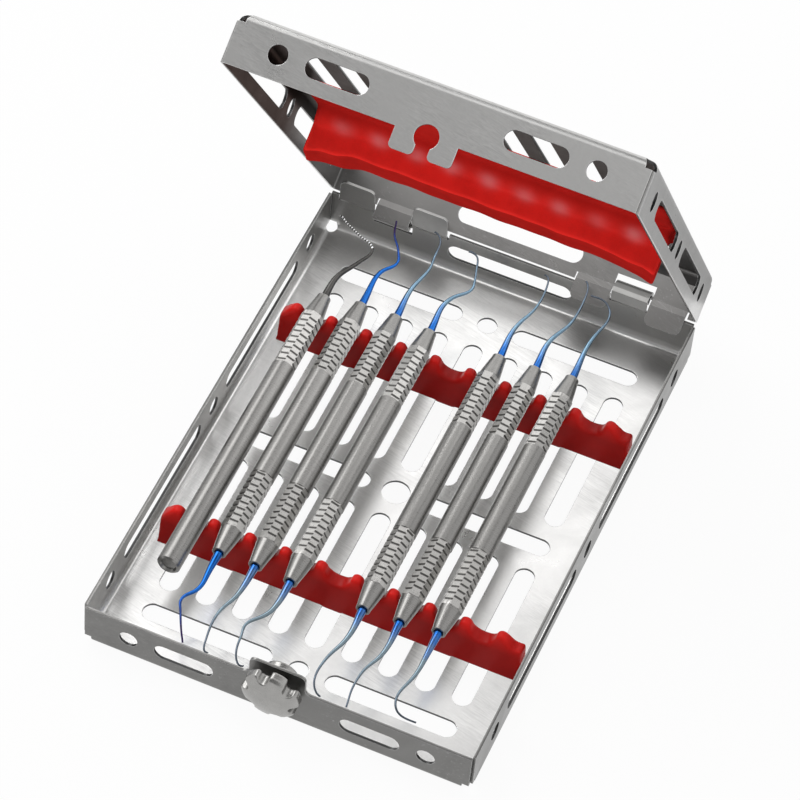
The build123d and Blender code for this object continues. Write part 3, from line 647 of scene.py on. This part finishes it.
# ------------------------------------------------------------------ operators
class CassetteStageOperator(bpy.types.Operator):
    """Sets up the white table, the camera, the soft lamps and the reflected cards"""

    bl_idname = "cassette.stage"
    bl_label = "Stage and Lights"

    def execute(self, context):
        stage = settings()[0]
        scene = context.scene
        scene.view_settings.view_transform = "Standard"
        self.camera(scene, stage)
        self.table(stage)
        self.sky(scene, stage)
        self.lamps(stage)
        return {"FINISHED"}

    def camera(self, scene, stage):
        """The camera from its angles and the tray's place in its view."""
        a, e, r = stage.azimuth, stage.elevation, stage.roll
        back = Vector((math.sin(a) * math.cos(e), -math.cos(a) * math.cos(e), math.sin(e)))
        right = Vector((0, 0, 1)).cross(back).normalized()
        up = back.cross(right)
        across = right * math.cos(r) + up * math.sin(r)
        over = up * math.cos(r) - right * math.sin(r)
        place = back * stage.offset[2] - across * stage.offset[0] - over * stage.offset[1]
        axes = Matrix((across, over, back)).transposed()
        data = bpy.data.cameras.new("camera")
        data.sensor_fit = "HORIZONTAL"
        data.sensor_width = 36.0
        data.lens = stage.lens
        data.clip_start = 0.05
        data.clip_end = 20.0
        camera = bpy.data.objects.new("camera", data)
        camera.matrix_world = Matrix.Translation(place) @ axes.to_4x4()
        scene.collection.objects.link(camera)
        scene.camera = camera

    def table(self, stage):
        """A wide table that shows white and keeps a soft shadow."""
        bm = bmesh.new()
        bmesh.ops.create_grid(bm, x_segments=2, y_segments=2, size=4.0)
        bmesh.ops.translate(bm, verts=bm.verts, vec=(0, 0, -0.2 * MM))
        mesh = bpy.data.meshes.new("table")
        bm.to_mesh(mesh)
        bm.free()
        table = bpy.data.objects.new("table", mesh)
        bpy.context.scene.collection.objects.link(table)
        material = bpy.data.materials.new("white table")
        material.use_nodes = True
        tree = material.node_tree
        tree.nodes.clear()
        lifted = times(tree, plainly_seen(tree), stage.cut)
        matt = node(tree, "ShaderNodeBsdfDiffuse", {"Color": (0.9, 0.9, 0.9, 1)})
        white = node(tree, "ShaderNodeEmission", {"Color": (1, 1, 1, 1), "Strength": 1.0})
        both = node(tree, "ShaderNodeMixShader", {
            0: lifted, 1: matt.outputs[0], 2: white.outputs[0]})
        node(tree, "ShaderNodeOutputMaterial", {"Surface": both.outputs[0]})
        mesh.materials.append(material)

    def sky(self, scene, stage):
        """Even light all round, seen as plain white behind the table."""
        world = bpy.data.worlds.new("studio")
        world.use_nodes = True
        scene.world = world
        tree = world.node_tree
        background = tree.nodes["Background"]
        put(background.inputs["Color"], (1, 1, 1, 1))
        strength = remap(tree, plainly_seen(tree), 0.0, 1.0, stage.fill, 1.0)
        put(background.inputs["Strength"], strength)

    def lamps(self, stage):
        """A large key lamp, and cards and small lamps that only the polished metal sees."""
        self.lamp("key", stage.key, Vector((-0.75, 0.35, 0.95)), (0.9, 0.7))
        self.card("low card", Vector((-0.35, -0.95, 0.62)), (1.5, 0.75), 0.25)
        self.card("high card", Vector((-0.25, -0.55, 1.15)), (1.5, 0.50), 0.30)
        self.card("dark card", Vector((-0.30, 0.75, 1.25)), (1.6, 0.9), 0.20)
        behind_lid = Vector((0.10, 0.165, 0.004))
        self.card("shade card", behind_lid, (0.14, 0.11), 0.42, behind_lid + Vector((0, 0, 1)))
        into_lid = Vector((0.0, -0.849, -0.529))
        for name, place, size, level in (
                ("upper strip", Vector((0.0, 0.0295, 0.1359)), (0.118, 0.0775), 0.66),
                ("lower strip", Vector((0.0, 0.0751, 0.0627)), (0.118, 0.095), 0.9)):
            power = 4 * size[0] * size[1] * level
            strip = self.lamp(name, power, place, size, place + into_lid)
            strip.visible_camera = strip.visible_diffuse = False

    def lamp(self, name, power, place, size, target=Vector((0, 0, 0.05))):
        """A soft rectangular lamp."""
        data = bpy.data.lights.new(name, "AREA")
        data.shape = "RECTANGLE"
        data.size, data.size_y = size
        data.energy = power
        return self.aim(name, data, place, target)

    def aim(self, name, data, place, target):
        """A lamp or card at a place, facing its target."""
        made = bpy.data.objects.new(name, data)
        turn = (place - target).to_track_quat("Z", "Y")
        made.matrix_world = Matrix.Translation(place) @ turn.to_matrix().to_4x4()
        bpy.context.scene.collection.objects.link(made)
        return made

    def card(self, name, place, size, level, target=Vector((0, 0, 0.05))):
        """A plain card of one brightness on its front, seen only in reflections."""
        bm = bmesh.new()
        bmesh.ops.create_grid(bm, x_segments=1, y_segments=1, size=0.5)
        bmesh.ops.scale(bm, verts=bm.verts, vec=(size[0], size[1], 1))
        mesh = bpy.data.meshes.new(name)
        bm.to_mesh(mesh)
        bm.free()
        material = bpy.data.materials.new(name)
        material.use_nodes = True
        tree = material.node_tree
        tree.nodes.clear()
        glow = node(tree, "ShaderNodeEmission", {"Strength": level})
        clear = node(tree, "ShaderNodeBsdfTransparent")
        front = node(tree, "ShaderNodeNewGeometry").outputs["Backfacing"]
        both = node(tree, "ShaderNodeMixShader", {
            0: front, 1: clear.outputs[0], 2: glow.outputs[0]})
        node(tree, "ShaderNodeOutputMaterial", {"Surface": both.outputs[0]})
        mesh.materials.append(material)
        made = self.aim(name, mesh, place, target)
        made.visible_camera = made.visible_diffuse = made.visible_shadow = False


class CassetteSheetOperator(bpy.types.Operator):
    """Finishes the folded tray and lid in tumbled sheet steel"""

    bl_idname = "cassette.sheet"
    bl_label = "Tray and Lid"

    def execute(self, context):
        colours = settings()[1]
        dress(["base_tray"], sheet_steel("tray steel", tuple(colours.outside), tuple(colours.walls),
                                         tuple(colours.floor), TRAY_HALF))
        dress(["lid"], sheet_steel("lid steel", tuple(colours.steel), tuple(colours.inside),
                                   tuple(colours.inside), LID_HALF, tuple(colours.deep)))
        return {"FINISHED"}


class CassetteLatchOperator(bpy.types.Operator):
    """Finishes the knob, shaft, spring washer and cap of the latch"""

    bl_idname = "cassette.latch"
    bl_label = "Latch"

    def execute(self, context):
        _, colours, shape = settings()
        bm = remeshed("latch_knob", shape.knob_voxel)
        soften(bm, bm.verts[:], shape.knob_softening)
        made = piece(bm, "cast_latch_knob", "latch",
                     cast_steel("knob steel", tuple(colours.latch), 0.3), sharp=60.0)
        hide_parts("latch_knob")
        dress(["latch_shaft", "spring_washer", "retaining_cap"],
              cast_steel("latch steel", tuple(colours.latch), 0.22))
        return {"FINISHED"}


class CassetteRailOperator(bpy.types.Operator):
    """Moulds the two silicone rails that seat the handles"""

    bl_idname = "cassette.rails"
    bl_label = "Rails"

    def execute(self, context):
        _, colours, shape = settings()
        # painted light on the rails' crests
        material = silicone("red silicone", tuple(colours.silicone), 0.2, rail_painted_light)
        for name in ("front_rail", "rear_rail"):
            bm = remeshed(name, shape.voxel)
            soften(bm, [v for v in bm.verts if v.co.z > RAIL_FOOT * MM], shape.softening)
            made = piece(bm, "moulded_" + name, "base", material, sharp=60.0)
            made.visible_glossy = False
            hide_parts(name)
        return {"FINISHED"}


class CassettePadOperator(bpy.types.Operator):
    """Moulds the silicone pad that holds the handles down under the lid"""

    bl_idname = "cassette.pad"
    bl_label = "Lid Pad"

    def execute(self, context):
        _, colours, shape = settings()
        # the pad's painted light and shade, and its painted highlights
        material = silicone("pad silicone", tuple(colours.pad), 0.0, pad_shade, pad_painted_highlights)
        bm = remeshed("lid_pad", shape.pad_voxel)
        soften(bm, bm.verts[:], shape.softening)
        seat = self.sag(bm, shape)
        made = piece(bm, "moulded_lid_pad", "lid", material, sharp=60.0)
        made.visible_glossy = False
        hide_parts("lid_pad")
        self.press(made, seat, shape)
        return {"FINISHED"}

    def lid_axes(self):
        """The hinge's place, and the lid's own directions: away from the hinge and into the lid."""
        hinge, turn = lid_hinge()
        back = turn.inverted()
        return hinge, back @ Vector((0, -1, 0)), back @ Vector((0, 0, 1))

    def sag(self, bm, shape):
        """Lets the lower part of the pad hang, a little further towards its ends."""
        def eased(share):
            """A share from 0 to 1 that starts and stops gently."""
            share = min(max(share, 0), 1)
            return share * share * (3 - 2 * share)

        left_from, left_over = 41 * MM, 8 * MM
        right_from, right_over, right_share = 36 * MM, 16 * MM, 0.6
        ripples = ((0.07 * MM, 533), (0.10 * MM, 310))
        hinge, _, into = self.lid_axes()
        seat = max((vert.co - hinge).dot(into) for vert in bm.verts)
        low = min((vert.co - hinge).dot(into) for vert in bm.verts)
        for vert in bm.verts:
            across = vert.co.x
            left = eased((-across - left_from) / left_over)
            right = eased((across - right_from) / right_over)
            hang = shape.pad_hang + shape.pad_droop * (left + right_share * right)
            wave = sum(height * math.sin(across * rate) for height, rate in ripples)
            share = (seat - (vert.co - hinge).dot(into)) / (seat - low)
            vert.co -= into * (hang + wave) * min(share * 1.15, 1)
        return seat

    def press(self, made, seat, shape):
        """Gives the pad its own copy of its mesh."""
        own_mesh(made)


class CassetteHandleOperator(bpy.types.Operator):
    """Turns the seven handles with their flats and notched grips"""

    bl_idname = "cassette.handles"
    bl_label = "Handles"

    def execute(self, context):
        _, colours, shape = settings()
        material = handle_steel("satin steel", tuple(colours.handle))
        self.handle("probe_handle", "probe", shape, material, plain_tail=True, turn=4.0)
        for number in INSTRUMENTS:
            name, body = f"handle_{number}", f"instrument_{number}"
            self.handle(name, body, shape, material, plain_tail=False, turn=11.0 * number)
        return {"FINISHED"}

    def rows(self, shape):
        """Radius and distance from the middle, from the grip's start to the axis at the end."""
        radius, collar = shape.handle_radius, shape.collar_radius
        step = shape.notch_pitch / 2
        half = shape.notch_width / 2
        first = shape.grip_start + FIRST_NOTCH * MM
        rows = [(radius, shape.grip_start - 0.05 * MM), (radius, shape.grip_start)]
        count = int((shape.cone_start - first) / step)
        for index in range(count):
            middle = first + index * step
            rows += [(radius, middle + offset) for offset in (-half, -half / 2, half / 2, half)]
        rows += [(radius, shape.cone_start - 0.12 * MM)]
        cone_end = shape.handle_half - 0.8 * MM
        neck = shape.flat_radius
        for part in range(13):
            share = part / 12
            rows.append((neck + (collar - neck) * share ** 1.12,
                         shape.cone_start + (cone_end - shape.cone_start) * share))
        lip = 0.15 * MM
        end = shape.handle_half
        bore = shape.bore_radius
        rows += [(collar, end - lip), (collar - lip, end), (bore + 0.25 * MM, end),
                 (bore + 0.2 * MM, end - 0.5 * MM), (0, end - 0.5 * MM)]
        return rows

    def handle(self, name, body, shape, material, plain_tail, turn):
        """One handle, spun about its own axis and moved into its seat."""
        low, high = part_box(name)
        end = high.y
        middle = Vector(((low.x + high.x) / 2, end - shape.handle_half, (low.z + high.z) / 2))
        grip = self.rows(shape)
        if plain_tail:
            chamfer = 0.5 * MM
            tail = low.y - middle.y
            hollow = tail + 0.7 * MM
            start = [(0, hollow), (shape.handle_radius - 1.5 * MM, hollow),
                     (shape.handle_radius - 1.0 * MM, tail), (shape.handle_radius - chamfer, tail),
                     (shape.handle_radius, tail + chamfer)]
        else:
            start = [(radius, -along) for radius, along in reversed(grip)]
        outline = start + [(shape.handle_radius, 0)] + grip
        bm = bmesh.new()
        chain = [bm.verts.new((radius, along, 0)) for radius, along in outline]
        lines = [bm.edges.new(pair) for pair in zip(chain, chain[1:])]
        bmesh.ops.spin(bm, geom=chain + lines, cent=(0, 0, 0), axis=(0, 1, 0), angle=math.tau,
                       steps=shape.segments, use_merge=True)
        bmesh.ops.remove_doubles(bm, verts=bm.verts, dist=0.001 * MM)
        bmesh.ops.recalc_face_normals(bm, faces=bm.faces)
        self.mill(bm, shape, plain_tail)
        bmesh.ops.rotate(bm, verts=bm.verts, cent=(0, 0, 0),
                         matrix=Matrix.Rotation(math.radians(turn), 3, "Y"))
        bmesh.ops.translate(bm, verts=bm.verts, vec=middle)
        made = piece(bm, "turned_" + name, body, material, sharp=24.0)
        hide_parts(name)

    def mill(self, bm, shape, plain_tail):
        """Mills eight flats along each grip, and cuts staggered notches across them."""
        eighth = math.tau / 8
        first = shape.grip_start + FIRST_NOTCH * MM
        step = shape.notch_pitch / 2
        # grip and notch mark where the finish paints a highlight on the grips and shade in the
        # notches
        grip = bm.verts.layers.float.new("grip")
        notch = bm.verts.layers.float.new("notch")
        for vert in bm.verts:
            along = abs(vert.co.y)
            radius = math.hypot(vert.co.x, vert.co.z)
            if along < shape.grip_start - 0.01 * MM or along > shape.cone_start - 0.1 * MM:
                continue
            if plain_tail and vert.co.y < 0:
                continue
            vert[grip] = 1.0
            angle = math.atan2(vert.co.z, vert.co.x) % math.tau
            from_flat = abs(angle % eighth - eighth / 2)
            reach = min(radius, shape.flat_radius / math.cos(from_flat))
            row = round((along - first) / step)
            inside_notch = abs(along - first - row * step) < shape.notch_width * 0.3
            flat = int(angle / eighth)
            if inside_notch and (row + flat) % 2 == 0:
                reach = min(reach, shape.notch_radius / math.cos(from_flat))
                vert[notch] = 1.0
            vert.co.x *= reach / radius
            vert.co.z *= reach / radius


class CassetteTipOperator(bpy.types.Operator):
    """Finishes the coated working tips and the banded probe"""

    bl_idname = "cassette.tips"
    bl_label = "Tips"

    def execute(self, context):
        colours = settings()[1]
        pairs = {
            "blue tip": ((colours.tip, colours.worn, colours.tip_end), (3, 4, 6, 7, 8)),
            "royal tip": ((colours.royal, colours.royal, colours.royal_end), (2,)),
        }
        for name, (coats, numbers) in pairs.items():
            material = coated_tip(name, tuple(colours.royal), *(tuple(coat) for coat in coats))
            dress([f"{end}_tip_{n}" for n in numbers for end in ("rear", "front")], material)
        dress(["probe_tip"], banded_probe("probe steel", tuple(colours.point)))
        return {"FINISHED"}


class CassettePanel(bpy.types.Panel):
    """Lists the pieces of the cassette in the sidebar"""

    bl_idname = "VIEW3D_PT_cassette"
    bl_label = "Instrument Cassette"
    bl_space_type = "VIEW_3D"
    bl_region_type = "UI"
    bl_category = "Cassette"

    def draw(self, context):
        layout = self.layout
        for operator in OPERATORS:
            layout.operator(operator.bl_idname)
        for group in ("cassette_stage", "cassette_finish", "cassette_shape"):
            owner = getattr(context.scene, group)
            box = layout.box()
            for name in owner.bl_rna.properties.keys():
                if name not in ("rna_type", "name"):
                    box.prop(owner, name)


OPERATORS = (
    CassetteStageOperator,
    CassetteSheetOperator,
    CassetteLatchOperator,
    CassetteRailOperator,
    CassettePadOperator,
    CassetteHandleOperator,
    CassetteTipOperator,
)
GROUPS = {
    "cassette_stage": CassetteStage,
    "cassette_finish": CassetteFinish,
    "cassette_shape": CassetteShape,
}


def register():
    """Registers the settings, the operators and the panel."""
    for name, group in GROUPS.items():
        bpy.utils.register_class(group)
        setattr(bpy.types.Scene, name, bpy.props.PointerProperty(type=group))
    for kind in OPERATORS + (CassettePanel,):
        bpy.utils.register_class(kind)


def unregister():
    """Takes the panel, the operators and the settings away again."""
    for kind in reversed(OPERATORS + (CassettePanel,)):
        bpy.utils.unregister_class(kind)
    for name, group in GROUPS.items():
        delattr(bpy.types.Scene, name)
        bpy.utils.unregister_class(group)


def main():
    """Builds every piece."""
    register()
    bpy.ops.cassette.stage()
    bpy.ops.cassette.sheet()
    bpy.ops.cassette.latch()
    bpy.ops.cassette.rails()
    bpy.ops.cassette.pad()
    bpy.ops.cassette.handles()
    bpy.ops.cassette.tips()


if __name__ == "__main__":
    main()
